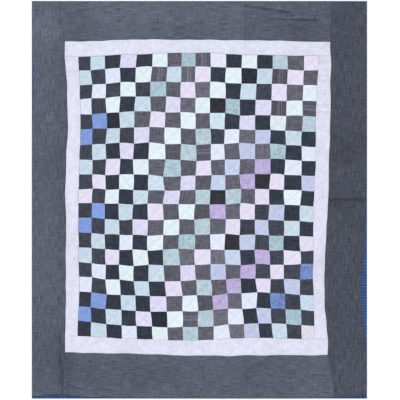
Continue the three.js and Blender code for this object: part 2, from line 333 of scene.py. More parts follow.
def puffed(distance):
    """The quilt's thickness at a distance from the nearest stitching: steep, then level."""
    steep = 1 - np.exp(-distance / STEEP_OVER)
    gentle = np.sin(np.clip(distance / FULL_LOFT_AT, 0, 1) * np.pi / 2)
    return STITCHED + LOFT * (STEEP_SHARE * steep + GENTLE_SHARE * gentle)


def puckers(along, distance, seed):
    """Short wrinkles across a line of stitches, dying out away from it."""
    short = bumps(along, distance / 2, 7, seed)
    long = bumps(along, distance / 2, 13, seed + 1)
    return (0.8 * short + 0.7 * long) * np.exp(-distance / 13)


def wrinkles(along, across, seed):
    """Soft wrinkles that washing leaves, longer along the cloth than across it."""
    return 0.7 * bumps(along / 3.5, across, 9, seed) + 0.45 * bumps(along, across / 2.5, 10, seed + 1)


print("Between stitches it stands", STITCHED + LOFT, "mm high")

# %% [markdown]
# ## A sheet is a grid with its rim turned down
#
# Every piece of cloth starts as a flat grid from one bmesh operator. A helper gives each
# point its place and height, extrudes the rim to the ground and fills the underside. The
# result is a closed thin sheet. It also stores what the cotton materials want to know: a UV
# map that follows the cloth's own threads, how far each point stands up, and its tone.

# %% Make a closed sheet from a grid
def marks(low, high, step):
    """Even marks from low to high, near enough a step apart."""
    return np.linspace(low, high, max(2, round((high - low) / step) + 1))


def grid_of(across, along):
    """A flat grid of quads, and the mark that each of its points stands on."""
    bm = bmesh.new()
    bmesh.ops.create_grid(bm, x_segments=len(across) - 1, y_segments=len(along) - 1, size=0.5)
    flat = np.array([vert.co[:2] for vert in bm.verts]) + 0.5
    column = np.rint(flat[:, 0] * (len(across) - 1)).astype(int)
    row = np.rint(flat[:, 1] * (len(along) - 1)).astype(int)
    return bm, column, row


def shape_sheet(bm, x, y, z, rim_drop):
    """Moves a grid's points to their places, turns the rim down and fills the underside."""
    rim_points = {vert.index for vert in bm.verts if vert.is_boundary}
    for vert, *place in zip(bm.verts, x, y, z):
        drop = rim_drop if vert.index in rim_points else 0
        vert.co = (place[0] * MM, place[1] * MM, (place[2] - drop) * MM)
    rim = [edge for edge in bm.edges if edge.is_boundary]
    turned = bmesh.ops.extrude_edge_only(bm, edges=rim)["geom"]
    for vert in turned:
        if isinstance(vert, bmesh.types.BMVert):
            vert.co.z = 0
    ground = [edge for edge in bm.edges if edge.is_boundary]
    underside = bmesh.ops.holes_fill(bm, edges=ground, sides=0)["faces"]
    bmesh.ops.recalc_face_normals(bm, faces=bm.faces)
    for face in bm.faces:
        face.smooth = True
    for edge in ground:
        edge.smooth = False
    return underside


def top_point_of_rim(points, top_count):
    """For each point at the foot of the rim, the number of the point above it."""
    tree = {(round(p[0], 3), round(p[1], 3)): n for n, p in enumerate(points[:top_count])}
    return np.array([tree[(round(p[0], 3), round(p[1], 3))] for p in points[top_count:]])


def store(mesh, name, values, domain="POINT"):
    """Keeps a number for each point or face, for the materials to read."""
    attribute = mesh.attributes.new(name, "FLOAT", domain)
    attribute.data.foreach_set("value", np.asarray(values, np.float32))


def make_sheet(name, bm, materials):
    """The finished mesh as an object at the origin."""
    mesh = bpy.data.meshes.new(name)
    bm.to_mesh(mesh)
    bm.free()
    for material in materials:
        mesh.materials.append(material)
    sheet = bpy.data.objects.new(name, mesh)
    bpy.context.collection.objects.link(sheet)
    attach(sheet, "root")
    return sheet


def add_cloth_map(mesh, across, along):
    """A UV map in metres of cloth, from one pair of numbers for each corner of a face."""
    layer = mesh.uv_layers.new(name="cloth")
    layer.uv.foreach_set("vector", np.column_stack([across, along]).astype(np.float32).ravel())


def corner_points(mesh):
    """The number of the point at each corner of each face."""
    points = np.zeros(len(mesh.loops), np.int32)
    mesh.loops.foreach_get("vertex_index", points)
    return points


def place_of_points(mesh):
    """Each point's place in millimetres."""
    flat = np.zeros(len(mesh.vertices) * 3, np.float32)
    mesh.vertices.foreach_get("co", flat)
    return flat.reshape(-1, 3) / MM


def read_sheet(mesh, top_count):
    """Each point's place, and a function that repeats the top face's values down the rim."""
    points = place_of_points(mesh)
    above = top_point_of_rim(points, top_count)

    def whole(values):
        return np.concatenate([values, values[above]])
    return points, whole


def standing(points):
    """How far up each point stands, from 0 at the stitching to 1 at full loft."""
    return np.clip((points[:, 2] - STITCHED) / LOFT, 0, 1)


print("Ready to make sheets")

# %% [markdown]
# ## Cotton
#
# One builder makes every cotton. Up close cloth is a weave: threads half a millimetre apart
# that pass over and under. From further off the eye sees slubs, which are thick places in
# the threads that show as faint streaks both ways, and soft clouds where the dye took
# unevenly. Washing leaves fine crinkles. Whatever stands up is lighter, partly from wear and
# partly as painted light, which leaves painted shade in the stitched hollows. All of it is
# read from the cloth's own UV map, so it bends with the seams and never slides.

# %% Small helpers for patterns
def streaks(tree, cloth_map, across, along, detail=2):
    """Noise stretched along the cloth: sizes are in metres."""
    stretch = add_node(tree, "ShaderNodeMapping", {"Scale": (1 / across, 1 / along, 1)})
    cloud = add_node(tree, "ShaderNodeTexNoise", {"Scale": 1, "Detail": detail, "Roughness": 0.6})
    tree.links.new(cloth_map, stretch.inputs["Vector"])
    tree.links.new(stretch.outputs["Vector"], cloud.inputs["Vector"])
    return cloud.outputs["Fac"]


def calculate(tree, operation, *sources):
    """One step of arithmetic on sockets and plain numbers."""
    step = add_node(tree, "ShaderNodeMath", operation=operation)
    for number, source in enumerate(sources):
        if isinstance(source, (int, float)):
            step.inputs[number].default_value = source
        else:
            tree.links.new(source, step.inputs[number])
    return step.outputs["Value"]


def share_between(tree, value, none_at, all_at):
    """0 where the value is at the first number, rising to 1 where it is at the second."""
    ramp = add_node(tree, "ShaderNodeMapRange", {"From Min": none_at, "From Max": all_at})
    tree.links.new(value, ramp.inputs["Value"])
    return ramp.outputs["Result"]


def add_up(tree, shares, start=0.0):
    """Patterns added to a number, each multiplied by its share."""
    total = start
    for pattern, share in shares:
        total = calculate(tree, "MULTIPLY_ADD", pattern, share, total)
    return total


def weave(tree, cloth_map, pitch):
    """Threads that pass over and under each other, from -1 to 1."""
    parts = add_node(tree, "ShaderNodeSeparateXYZ")
    tree.links.new(cloth_map, parts.inputs["Vector"])
    ups = [
        calculate(tree, "SINE", calculate(tree, "MULTIPLY", parts.outputs[axis], math.pi / pitch))
        for axis in ("X", "Y")
    ]
    return calculate(tree, "MULTIPLY", *ups)


print("Pattern helpers are ready")

# %% Patterns that every cotton has
SLUB_WIDTH, SLUB_LENGTH = 4.2 * MM, 60 * MM
CLOUD_SIZE = 24 * MM
CRINKLE_LENGTH, CRINKLE_WIDTH = 17 * MM, 7.5 * MM


def patterns_of(tree, thread):
    """Everything that a cotton's colour and relief are made of, by name."""
    cloth_map = add_node(tree, "ShaderNodeUVMap", uv_map="cloth").outputs["UV"]
    stored = {
        name: add_node(tree, "ShaderNodeAttribute", attribute_name=name).outputs["Fac"]
        for name in ("loft", "tone", "to_thread")
    }
    crinkles = streaks(tree, cloth_map, CRINKLE_LENGTH, CRINKLE_WIDTH, detail=1)
    return {
        **stored,
        "map": cloth_map,
        "warp": streaks(tree, cloth_map, SLUB_WIDTH, SLUB_LENGTH, detail=4),
        "weft": streaks(tree, cloth_map, SLUB_LENGTH, SLUB_WIDTH, detail=4),
        "clouds": streaks(tree, cloth_map, CLOUD_SIZE, CLOUD_SIZE, detail=4),
        "crinkles": crinkles,
        "ridges": calculate(tree, "ABSOLUTE", calculate(tree, "SUBTRACT", crinkles, 0.5)),
        "threads": weave(tree, cloth_map, thread * MM),
    }


print("Slubs are", round(SLUB_LENGTH / MM), "mm long")

# %% [markdown]
# A cotton's brightness is a sum. Slubs and clouds lighten it round a middle of 1. Cloth that
# stands up is lighter, partly from wear and partly as painted light, so the stitched hollows
# get painted shade. Painted shade also goes where the crinkles fold sharply, and in a line
# beside the stitching, broken up where the cloth is slack. Its relief is a smaller sum of the
# same parts.

# %% One builder for every cotton
DYE, MIDDLE = 0.95, 1.02
# How much the weave shows, and how much painted shade falls in sharp wrinkle folds.
WEAVE_SHOWS, WRINKLE_SHADE = 0.06, 0.13
# How sharp a fold must be for that painted shade, and how far the painted shade beside the stitching
# reaches, in mm.
WRINKLE_EDGE, STITCHED_LINE = 0.07, 2.6
# How strongly a slub shows, how much every cotton is mottled, and how much more a slubby one.
SLUB_SHOWS, MOTTLE, SLUBBY_MOTTLE = 2.4, 0.26, 0.4
# Where wrinkles lie and where stitching is tight: none at the first level, all at the second.
WRINKLED_FROM, TIGHT_FROM = (0.46, 0.58), (0.45, 0.65)
relief_heights = {"ridges": 5 * MM, "threads": 0.05 * MM, "warp": 0.5 * MM, "weft": 0.4 * MM}


def brightness(tree, has, slub, cloud, wear_and_shade, cross, stitch_shade):
    """How bright a cotton is, from its patterns and the share of each."""
    sharp = share_between(tree, has["ridges"], WRINKLE_EDGE, 0)
    wrinkled = share_between(tree, has["clouds"], *WRINKLED_FROM)
    sewn = share_between(tree, has["to_thread"], STITCHED_LINE, 0)
    tight = share_between(tree, has["warp"], *TIGHT_FROM)
    mottle = MOTTLE + SLUBBY_MOTTLE * slub
    middle = MIDDLE - SLUB_SHOWS / 2 * slub * (1 + cross) - cloud - wear_and_shade / 2 - mottle / 2
    bright = add_up(tree, [
        (has["warp"], SLUB_SHOWS * slub),
        (has["weft"], SLUB_SHOWS * slub * cross),
        (has["clouds"], 2 * cloud),
        # Raised cloth is lighter, partly from wear and partly as painted light, which leaves painted shade
        # in the stitched hollows.
        (has["loft"], wear_and_shade),
        (has["threads"], WEAVE_SHOWS),
        # Painted shade in sharp wrinkle folds.
        (calculate(tree, "MULTIPLY", sharp, wrinkled), -WRINKLE_SHADE),
        (has["crinkles"], mottle),
        # Painted shade in a line beside the stitching.
        (calculate(tree, "MULTIPLY", sewn, tight), -stitch_shade),
    ], middle)
    return calculate(tree, "MULTIPLY", calculate(tree, "MULTIPLY", bright, has["tone"]), DYE)


def cotton(
    name, colour, slub=0.08, cloud=0.06, wear_and_shade=0.05, thread=0.6, cross=0.8, stitch_shade=0.1,
    stripe=None, top_colour=None
):
    """A cotton of one colour. Slub and cloud are shares of its brightness, and so are the share
    by which raised cloth is lighter, partly from wear and partly as painted light, and the share
    of painted shade beside the stitching. Cross is how slubby its weft is beside its warp, and
    thread is its thread's width in mm."""
    material, tree, shader = new_material(name)
    shader.inputs["Specular IOR Level"].default_value = 0.12
    shader.inputs["Sheen Weight"].default_value = 0.05
    shader.inputs["Sheen Roughness"].default_value = 0.5
    has = patterns_of(tree, thread)
    bright = brightness(tree, has, slub, cloud, wear_and_shade, cross, stitch_shade)

    dyed = add_node(tree, "ShaderNodeMix", {"Factor": 1}, data_type="RGBA", blend_type="MULTIPLY")
    if stripe:
        where = stripe_places(tree, has["map"], has["weft"])
        tree.links.new(blend(tree, colour, stripe, where), dyed.inputs["A"])
    elif top_colour:
        tree.links.new(blend(tree, colour, top_colour, has["loft"]), dyed.inputs["A"])
    else:
        dyed.inputs["A"].default_value = (*from_screen(*colour), 1)
    tree.links.new(bright, dyed.inputs["B"])
    tree.links.new(dyed.outputs["Result"], shader.inputs["Base Color"])

    rough = calculate(tree, "MULTIPLY_ADD", has["warp"], 0.12, 0.84)
    tree.links.new(rough, shader.inputs["Roughness"])
    relief = add_up(tree, [(has[part], height) for part, height in relief_heights.items()])
    bump = add_node(tree, "ShaderNodeBump", {"Strength": 1.0, "Distance": 1.0})
    tree.links.new(relief, bump.inputs["Height"])
    tree.links.new(bump.outputs["Normal"], shader.inputs["Normal"])
    return material


def blend(tree, first, second, share):
    """One colour turning into another by a share that changes over the cloth."""
    mixed = add_node(tree, "ShaderNodeMix", data_type="RGBA")
    mixed.inputs["A"].default_value = (*from_screen(*first), 1)
    mixed.inputs["B"].default_value = (*from_screen(*second), 1)
    tree.links.new(share, mixed.inputs["Factor"])
    return mixed.outputs["Result"]


# Each is where its middle lies in the square, and half its width.
BROAD_STRIPE, FINE_STRIPE = (-2 * MM, 4 * MM), (13 * MM, 1.6 * MM)
STRIPE_SOFTNESS = 3 * MM


def stripe_places(tree, cloth_map, breaks):
    """1 on a shirting's stripes and 0 between: a broad one in the middle and a fine one."""
    parts = add_node(tree, "ShaderNodeSeparateXYZ")
    tree.links.new(cloth_map, parts.inputs["Vector"])
    stripes = []
    for middle, half in (BROAD_STRIPE, FINE_STRIPE):
        away = calculate(tree, "ABSOLUTE", calculate(tree, "SUBTRACT", parts.outputs["X"], middle))
        stripes.append(share_between(tree, away, half + STRIPE_SOFTNESS, half))
    both = calculate(tree, "MAXIMUM", *stripes)
    return calculate(tree, "MULTIPLY", both, calculate(tree, "MULTIPLY_ADD", breaks, 1.2, 0.3))


print("The cotton builder is ready")

# %% [markdown]
# ## The scrap bag
#
# The squares come from a scrap bag: shirtings, chambrays and plain cottons, washed soft. The
# darks run from a brown black to a slubby grey. The lights are whites, lilacs, pinks and
# teals, with a few bright cornflower squares. Each becomes one material with its own feel.

# %% One cotton for each cloth in the bag
dark = {"slub": 0.9, "cloud": 0.6, "wear_and_shade": 0.1}
scraps = {
    "charcoal": cotton("charcoal cotton", (65, 70, 82), **dark),
    "navy_black": cotton("navy black cotton", (52, 58, 71), **dark),
    "black": cotton("black cotton", (43, 49, 59), **dark),
    "brown_black": cotton("brown black cotton", (51, 51, 58), **dark),
    "grey": cotton("grey chambray", (96, 96, 109), slub=0.85, cloud=0.36, wear_and_shade=0.1),
    "pale_grey": cotton("pale grey chambray", (107, 107, 120), slub=0.85, cloud=0.36),
    "striped_grey": cotton(
        "striped grey shirting", (90, 90, 104), slub=0.5, cloud=0.3, stripe=(117, 116, 129)
    ),
    "mint_white": cotton("mint white cotton", (228, 240, 248)),
    "lavender_white": cotton("lavender white cotton", (227, 232, 252)),
    "pink": cotton("pink cotton", (229, 223, 245), slub=0.10, cloud=0.08),
    "pale_pink": cotton("pale pink cotton", (225, 221, 235)),
    "lilac": cotton("lilac cotton", (221, 218, 246), slub=0.22, cloud=0.2),
    "pale_teal": cotton("pale teal cotton", (201, 219, 234), slub=0.22, cloud=0.2),
    "teal": cotton("teal cotton", (184, 204, 216), slub=0.32, cloud=0.4),
    "deep_teal": cotton("deep teal cotton", (169, 194, 206), slub=0.4, cloud=0.45),
    "purple": cotton("purple cotton", (189, 175, 219), slub=0.34, cloud=0.4),
    "periwinkle": cotton("periwinkle cotton", (195, 202, 232), slub=0.16, cloud=0.14),
    "pale_blue": cotton("pale blue cotton", (198, 211, 237), slub=0.16, cloud=0.14),
    "cornflower": cotton("cornflower cotton", (131, 156, 219), slub=0.28, cloud=0.25),
    "deep_cornflower": cotton("deep cornflower cotton", (119, 141, 200), slub=0.8, cloud=0.7),
}
backing_cloth = cotton("blue backing cotton", (42, 78, 140), slub=0.15, cloud=0.12)
print(len(scraps), "cloths in the scrap bag")

# %% [markdown]
# ## The piecing plan
#
# The squares alternate dark and light, like a chequerboard. The maker worked in diagonals:
# the light diagonals take turns as teal, lilac and white. When a cloth ran out, another
# took its place, so the plan is three simple rules and a short list of swapped squares.

# %% The dark blocks, and the squares that break the rules
# Dark cloths by block. A later line is laid over an earlier one.
dark_blocks = [
    {"cloth": "charcoal", "columns": (1, 16), "rows": (1, 19)},
    {"cloth": "navy_black", "columns": (3, 6), "rows": (1, 19)},
    {"cloth": "grey", "columns": (6, 9), "rows": (1, 12)},
    {"cloth": "grey", "columns": (7, 9), "rows": (13, 19)},
    {"cloth": "navy_black", "columns": (10, 13), "rows": (1, 5)},
    {"cloth": "grey", "columns": (10, 12), "rows": (7, 11)},
    {"cloth": "grey", "columns": (10, 11), "rows": (12, 19)},
    {"cloth": "navy_black", "columns": (12, 12), "rows": (12, 19)},
    {"cloth": "grey", "columns": (14, 16), "rows": (1, 5)},
    {"cloth": "navy_black", "columns": (14, 16), "rows": (6, 13)},
]
# Swapped squares, as (row, column) from the head's left corner.
swapped = {
    "charcoal": [(3, 3), (3, 5), (6, 4), (12, 4), (6, 10), (12, 14), (3, 13), (12, 12)],
    "navy_black": [(17, 1), (19, 1), (18, 2), (17, 13), (19, 13)],
    "black": [(5, 3), (18, 6), (2, 12)],
    "brown_black": [(4, 10), (10, 10), (9, 13), (13, 11)],
    "grey": [(5, 5)],
    "pale_grey": [(3, 9), (4, 8), (6, 12), (7, 13), (14, 8), (14, 10), (18, 10), (17, 11), (19, 11)],
    "deep_teal": [(1, 8), (3, 6), (4, 11), (7, 14), (8, 7), (13, 8), (13, 14), (18, 15)],
    "teal": [(1, 14), (5, 16), (10, 11), (10, 9), (16, 9)],
    "pale_teal": [(2, 7)],
    "lilac": [(1, 4), (4, 7), (4, 13), (5, 12), (6, 5), (7, 4), (9, 8), (10, 7), (12, 5), (15, 8),
              (17, 6), (18, 5)],
    "lavender_white": [(2, 3), (3, 2), (4, 1), (1, 10), (6, 11), (7, 10), (13, 4), (15, 2), (16, 1),
                       (7, 16), (8, 15), (13, 10), (19, 4), (17, 12), (18, 11), (19, 10)],
    "pale_pink": [(19, 16)],
    "pale_blue": [(8, 11), (9, 10), (14, 11)],
    "mint_white": [(10, 15)],
    "deep_cornflower": [(15, 16), (17, 14)],
}
striped_across = [(4, 16), (7, 9), (18, 8)]
striped_along = [(1, 9), (2, 6), (2, 8), (2, 14), (4, 14)]
print(sum(len(places) for places in swapped.values()), "swapped squares")

# %% Find one square's cloth
def light_cloth(row, column):
    """The light cloth whose turn it is on this diagonal."""
    turn = (row + column - 1) % 6
    right_of_middle = column >= 10
    if turn == 2:
        if right_of_middle and row >= 8 and column <= 13:
            return "purple"
        return "teal" if 7 <= column <= 9 else "pale_teal"
    if turn == 4:
        return "pink"
    if column <= 2:
        return "cornflower"
    return "periwinkle" if right_of_middle and row >= 6 else "mint_white"


def dark_cloth(row, column):
    """The dark cloth of the block that this square is in."""
    chosen = None
    for block in dark_blocks:
        in_columns = block["columns"][0] <= column <= block["columns"][1]
        in_rows = block["rows"][0] <= row <= block["rows"][1]
        if in_columns and in_rows:
            chosen = block["cloth"]
    return chosen


def cloth_of(row, column):
    """The name of the cloth that one square is cut from."""
    if (row, column) in striped_across + striped_along:
        return "striped_grey"
    for cloth, places in swapped.items():
        if (row, column) in places:
            return cloth
    return dark_cloth(row, column) if (row + column) % 2 == 0 else light_cloth(row, column)


print("The first row:", [cloth_of(1, column) for column in range(1, COLUMNS + 1)])

# %% [markdown]
# ## The patchwork field
#
# The grid's points crowd towards each seam, because that is where the cloth dips. They are
# spaced the same way across and along, so both diagonals of a square pass through points,
# and cutting the faces along them gives each stitched valley a clean line. Each corner of a
# square is also nudged a little, and its sides bow, as they do in hand piecing.

# %% Where the points of the field lie
QUADS = 16
from_seam = [0, 1.2, 3.6, 7.6, 13.2, 19.4, 25.8, 32.2]
shares = [gap / PATCH for gap in from_seam] + [0.5] + [1 - gap / PATCH for gap in from_seam[:0:-1]]
hand = random.Random(19)
CORNER_NUDGE, SIDE_BOW = 1.9, 0.6


def nudges(rows, columns, size):
    """A pair of seeded random shifts for each place, none round the outside."""
    shifts = np.zeros((rows, columns, 2))
    for row in range(1, rows - 1):
        for column in range(1, columns - 1):
            shifts[row, column] = hand.gauss(0, size), hand.gauss(0, size)
    return shifts


corner_nudges = nudges(ROWS + 1, COLUMNS + 1, CORNER_NUDGE)
side_bows = nudges(ROWS + 1, COLUMNS + 1, SIDE_BOW)


def sewn_place(across, down):
    """Where a point of the field lies, given in squares from the left and from the top."""
    x = np.interp(across, range(COLUMNS + 1), column_seams)
    y = np.interp(down, range(ROWS + 1), row_seams)
    column = np.clip(across.astype(int), 0, COLUMNS - 1)
    row = np.clip(down.astype(int), 0, ROWS - 1)
    s = across - column
    t = down - row
    x, y = settled(x, y)
    moved = np.zeros((len(x), 2))
    for right, below, share in ((0, 0, (1 - s) * (1 - t)), (1, 0, s * (1 - t)),
                                (0, 1, (1 - s) * t), (1, 1, s * t)):
        moved += corner_nudges[row + below, column + right] * share[:, None]
    bow_x = side_bows[row, column, 0] * (1 - s) + side_bows[row, column + 1, 0] * s
    bow_y = side_bows[row, column, 1] * (1 - t) + side_bows[row + 1, column, 1] * t
    edge_x = np.clip(np.minimum(across, COLUMNS - across), 0, 1)
    edge_y = np.clip(np.minimum(down, ROWS - down), 0, 1)
    return (x + moved[:, 0] + 4 * t * (1 - t) * bow_x * edge_x,
            y + moved[:, 1] + 4 * s * (1 - s) * bow_y * edge_y)


# How softly a valley's floor is rounded, how deep and wide a seam's dip is, and how far from
# the rim the unevenness has died out.
VALLEY_ROUND, SEAM_DIP, SEAM_DIP_REACH, RIM_EASE = 2.5, 0.5, 1.9, 9


def field_heights(across, down, x, y):
    """How high the field stands: crossed valleys in each square, and a dip at each seam."""
    s = across % 1
    t = down % 1
    falling = (s - t) * PATCH * math.sqrt(0.5)
    rising = (s + t - 1) * PATCH * math.sqrt(0.5)
    to_stitches = np.minimum(np.abs(falling), np.abs(rising))
    along = np.where(np.abs(falling) < np.abs(rising), x - y, x + y) * math.sqrt(0.5)
    to_rim = np.minimum(np.minimum(across, COLUMNS - across), np.minimum(down, ROWS - down)) * PATCH
    to_side = np.minimum(s, 1 - s)
    to_end = np.minimum(t, 1 - t)
    to_seam = np.minimum(to_side, to_end) * PATCH
    along_seam = np.where(to_side < to_end, y, x)
    nearest = np.minimum(to_stitches, to_rim)
    z = puffed(np.hypot(nearest, VALLEY_ROUND) - VALLEY_ROUND)
    z -= SEAM_DIP * np.exp(-((to_seam / SEAM_DIP_REACH) ** 2))
    unevenness = 1.3 * puckers(along, to_stitches, 3) + 0.8 * puckers(along_seam, to_seam, 9)
    unevenness += 0.6 * bumps(x, y, 18, 5) + 0.5 * bumps(x, y, 60, 6)
    z += unevenness * np.clip(to_rim / RIM_EASE, 0.1, 1)
    return np.maximum(z, 1.0), to_stitches


across_marks = np.array([n + share for n in range(COLUMNS) for share in shares] + [COLUMNS])
down_marks = np.array([ROWS - n - share for n in range(ROWS) for share in shares] + [0.0])
print(len(across_marks) * len(down_marks), "points in the field")

# %% How far each square has faded
# Squares that have faded more than their neighbours, and squares that have kept more colour.
faded_squares = [
    (2, 8), (3, 15), (5, 10), (8, 4), (8, 7), (9, 6), (9, 11), (11, 2), (11, 11), (14, 10), (14, 12)
]
kept_squares = [
    (2, 14), (4, 14), (5, 14), (7, 7), (8, 8), (9, 9), (11, 9), (12, 12), (15, 7), (16, 12), (17, 9)
]


def field_tone(row, column):
    """One square's brightness: no two squares of a cloth have been washed quite alike."""
    dark = (row + column) % 2 == 0
    washed = 1 + hand.uniform(-1, 1) * (0.07 if dark else 0.02)
    step = 0.17 if dark else 0.07
    return washed + step * (((row, column) in faded_squares) - ((row, column) in kept_squares))


def place_of_square(count):
    """A square's row and column, from its number."""
    return count // COLUMNS + 1, count % COLUMNS + 1


print(len(faded_squares), "squares have faded more than their neighbours")

# %% Make the field
def make_field():
    """The patchwork as one sheet, and where each point lies, in squares, from the left, from
    the top and from the nearest line of stitching."""
    bm, column, row = grid_of(across_marks, down_marks)
    on_fold = (column % QUADS == row % QUADS) | ((column + row) % QUADS == 0)
    across = across_marks[column]
    down = down_marks[row]
    x, y = sewn_place(across, down)
    z, to_stitches = field_heights(across, down, x, y)

    names = list(scraps)
    number = bm.faces.layers.int.new("patch")
    for face in bm.faces:
        middle = face.calc_center_median()
        face[number] = int((0.5 - middle.y) * ROWS) * COLUMNS + int((middle.x + 0.5) * COLUMNS)
        face.material_index = names.index(cloth_of(*place_of_square(face[number])))

    bm.verts.ensure_lookup_table()
    folds = [vert for vert, fold in zip(bm.verts, on_fold) if fold]
    bmesh.ops.connect_verts(bm, verts=folds)
    for face in shape_sheet(bm, x, y, z, rim_drop=0.1):
        face.material_index = len(names)
        face[number] = -1
    sheet = make_sheet("patchwork_field", bm, [*scraps.values(), backing_cloth])
    return sheet, across, down, to_stitches


patchwork_field, field_across, field_down, field_to_stitches = make_field()
print(len(patchwork_field.data.polygons), "faces in the field")

# %% [markdown]
# Each square was cut with its threads along or across, so its UV map starts at its own
# middle, turned one way or the other, and far from its neighbours' part of the pattern. The
# striped squares keep their middle, because the stripes run down it.

# %% Give the field its cloth map, tones and loft
def field_cloth_map(mesh, across, down, patch):
    """UVs for each face corner, in metres, from where its point lies in its own square."""
    row, column = np.divmod(np.maximum(patch, 0), COLUMNS)
    u = (across - column - 0.5) * PATCH * MM
    v = (row + 0.5 - down) * PATCH * MM
    lying = np.zeros(ROWS * COLUMNS, bool)
    shift = np.zeros((ROWS * COLUMNS, 2))
    for count in range(ROWS * COLUMNS):
        place = place_of_square(count)
        if place in striped_along:
            shift[count, 1] = hand.uniform(2, 6)
        elif place in striped_across:
            lying[count] = True
            shift[count, 1] = hand.uniform(2, 6)
        else:
            lying[count] = hand.random() < 0.5
            shift[count] = hand.uniform(1, 6), hand.uniform(1, 6)
    which = np.maximum(patch, 0)
    turned = lying[which]
    add_cloth_map(mesh, np.where(turned, v, u) + shift[which, 0], np.where(turned, u, v) + shift[which, 1])


def finish_field(mesh):
    """Stores what the cottons read: the cloth map, and each point's tone, loft and stitching."""
    tones = np.array([field_tone(*place_of_square(count)) for count in range(ROWS * COLUMNS)])
    patch = np.zeros(len(mesh.polygons), np.int32)
    mesh.attributes["patch"].data.foreach_get("value", patch)
    sides = np.zeros(len(mesh.polygons), np.int32)
    mesh.polygons.foreach_get("loop_total", sides)
    points, whole = read_sheet(mesh, len(field_across))
    corners = corner_points(mesh)
    across, down = whole(field_across)[corners], whole(field_down)[corners]
    field_cloth_map(mesh, across, down, np.repeat(patch, sides))
    store(mesh, "tone", np.where(patch < 0, 1, tones[np.maximum(patch, 0)]), "FACE")
    store(mesh, "loft", standing(points))
    store(mesh, "to_thread", whole(field_to_stitches))
    print(len(points) - len(field_across), "points round the rim")


finish_field(patchwork_field.data)
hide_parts("field")

# %% [markdown]
# ## The borders
#
# A border strip is one long cut of cloth. Four edges bound it, and some of them wander,
# where the binding covers more or less of it. Each point is placed by its share of the way
# between opposite edges, so the strip follows whatever its edges do.

# %% How much of the edge the binding covers
# Each pair is a place along the edge and the width that shows there, in millimetres.
binding_shows = {
    "left": [(-1020, 2), (-880, 2), (-800, 4), (-700, 4), (-600, 2), (350, 2), (440, 6), (560, 8),
             (700, 7), (770, 3), (1020, 1.8)],
    "right": [(-1020, 5), (-900, 2), (-800, 3.5), (-740, 7), (-678, 15), (-600, 23), (-480, 28),
              (-411, 27), (-320, 21), (-250, 15), (-180, 10), (-62, 7), (40, 4), (200, 2.5), (1020, 2)],
    "bottom": [(-860, 12), (-818, 13), (-767, 17), (-705, 20), (-638, 13), (-561, 7.5), (-382, 4),
               (-125, 2.5), (260, 1.8), (500, 2.5), (593, 4), (721, 7), (793, 10), (834, 15), (860, 18)],
    "top": [(-860, 2), (650, 2), (760, 4), (860, 6)],
}


def binding_width(edge, along):
    """How wide the binding shows at places along one edge."""
    table = binding_shows[edge]
    return smooth([at for at, wide in table], [wide for at, wide in table], np.asarray(along, float))


def still(value):
    """An edge that keeps straight on the layout."""
    return lambda along: np.full(np.shape(along), float(value))


# Which way each edge of the quilt faces inward.
INWARD = {"left": 1, "right": -1, "bottom": 1, "top": -1}


def hem_fold(edge, short_of_it=0.0):
    """Where the binding's folded edge runs, or a line that far short of it."""
    return lambda along: outer[edge] + INWARD[edge] * (binding_width(edge, along) - short_of_it)


def lines_of(name, inside, outside):
    """Whether a strip runs lengthways, and the two lines that it runs between."""
    side = name.split("_")[0]
    return side in ("left", "right"), tuple(sorted((inside[side], outside[side])))


hem_folds = {edge: hem_fold(edge) for edge in outer}
print("At the foot's left end the binding shows", binding_width("bottom", -860.0).round(1), "mm")

# %% A grid between four edges
def strip_grid(left, right, bottom, top, step):
    """The grid, where its points lie, and how far they are from the seams. Each edge is a
    function of the distance along it."""
    middle = np.zeros(1)
    wide = float(right(middle)[0] - left(middle)[0])
    long = float(top(middle)[0] - bottom(middle)[0])
    across_shares = marks(0, 1, step / wide)
    along_shares = marks(0, 1, step / long)
    bm, column, row = grid_of(across_shares, along_shares)
    s = across_shares[column]
    t = along_shares[row]
    rough_x = left(middle)[0] + s * wide
    low = bottom(rough_x) + SEAM_GAP / 2
    high = top(rough_x) - SEAM_GAP / 2
    y = low + (high - low) * t
    near = left(y) + SEAM_GAP / 2
    far = right(y) - SEAM_GAP / 2
    x = near + (far - near) * s
    to_seam = np.minimum(np.minimum(x - near, far - x), np.minimum(y - low, high - y))
    return bm, x, y, to_seam


print("Strips can be cut")

# %% Creases that folding has left
# Each runs from one place to another, in millimetres from the quilt's middle.
creases = [
    {"start": (240, 995), "end": (450, 962), "deep": 1.2, "wide": 6},
    {"start": (410, 967), "end": (465, 957), "deep": 0.9, "wide": 8},
    {"start": (360, 926), "end": (600, 922), "deep": 1.0, "wide": 5},
    {"start": (500, 924), "end": (595, 922), "deep": 0.5, "wide": 6},
    {"start": (590, 925), "end": (602, 958), "deep": 0.7, "wide": 5},
    {"start": (-667, 960), "end": (-472, 995), "deep": 0.5, "wide": 6},
    {"start": (-19, 830), "end": (-15, 1005), "deep": 0.5, "wide": 4},
    {"start": (-667, -950), "end": (-605, -975), "deep": 1.1, "wide": 5},
    {"start": (-513, -973), "end": (-420, -982), "deep": 1.0, "wide": 5},
    {"start": (589, -899), "end": (645, -899), "deep": 0.7, "wide": 6},
    {"start": (195, -868), "end": (330, -828), "deep": 0.4, "wide": 7},
    {"start": (20, -870), "end": (22, -950), "deep": 0.5, "wide": 8},
    {"start": (-715, -700), "end": (-716, -850), "deep": 0.8, "wide": 6},
    {"start": (-704, -830), "end": (-706, -1000), "deep": 0.8, "wide": 8},
    {"start": (690, -800), "end": (698, -875), "deep": 0.6, "wide": 8},
    {"start": (672, 2), "end": (852, 3), "deep": 1.1, "wide": 8},
]
# Short tucks across the inner border's right side, where the quilting has gathered it.
tucks = [
    {"start": (612, y), "end": (655, y), "deep": 0.45, "wide": 3}
    for y in (732, 714, 702, 611, 554, 541, 485, 449)
]


# The lip beside a crease: its share of the crease's depth, and how far off it stands.
LIP_SHARE, LIP_AWAY, CREASE_FADES_OVER = 0.5, 14, 25


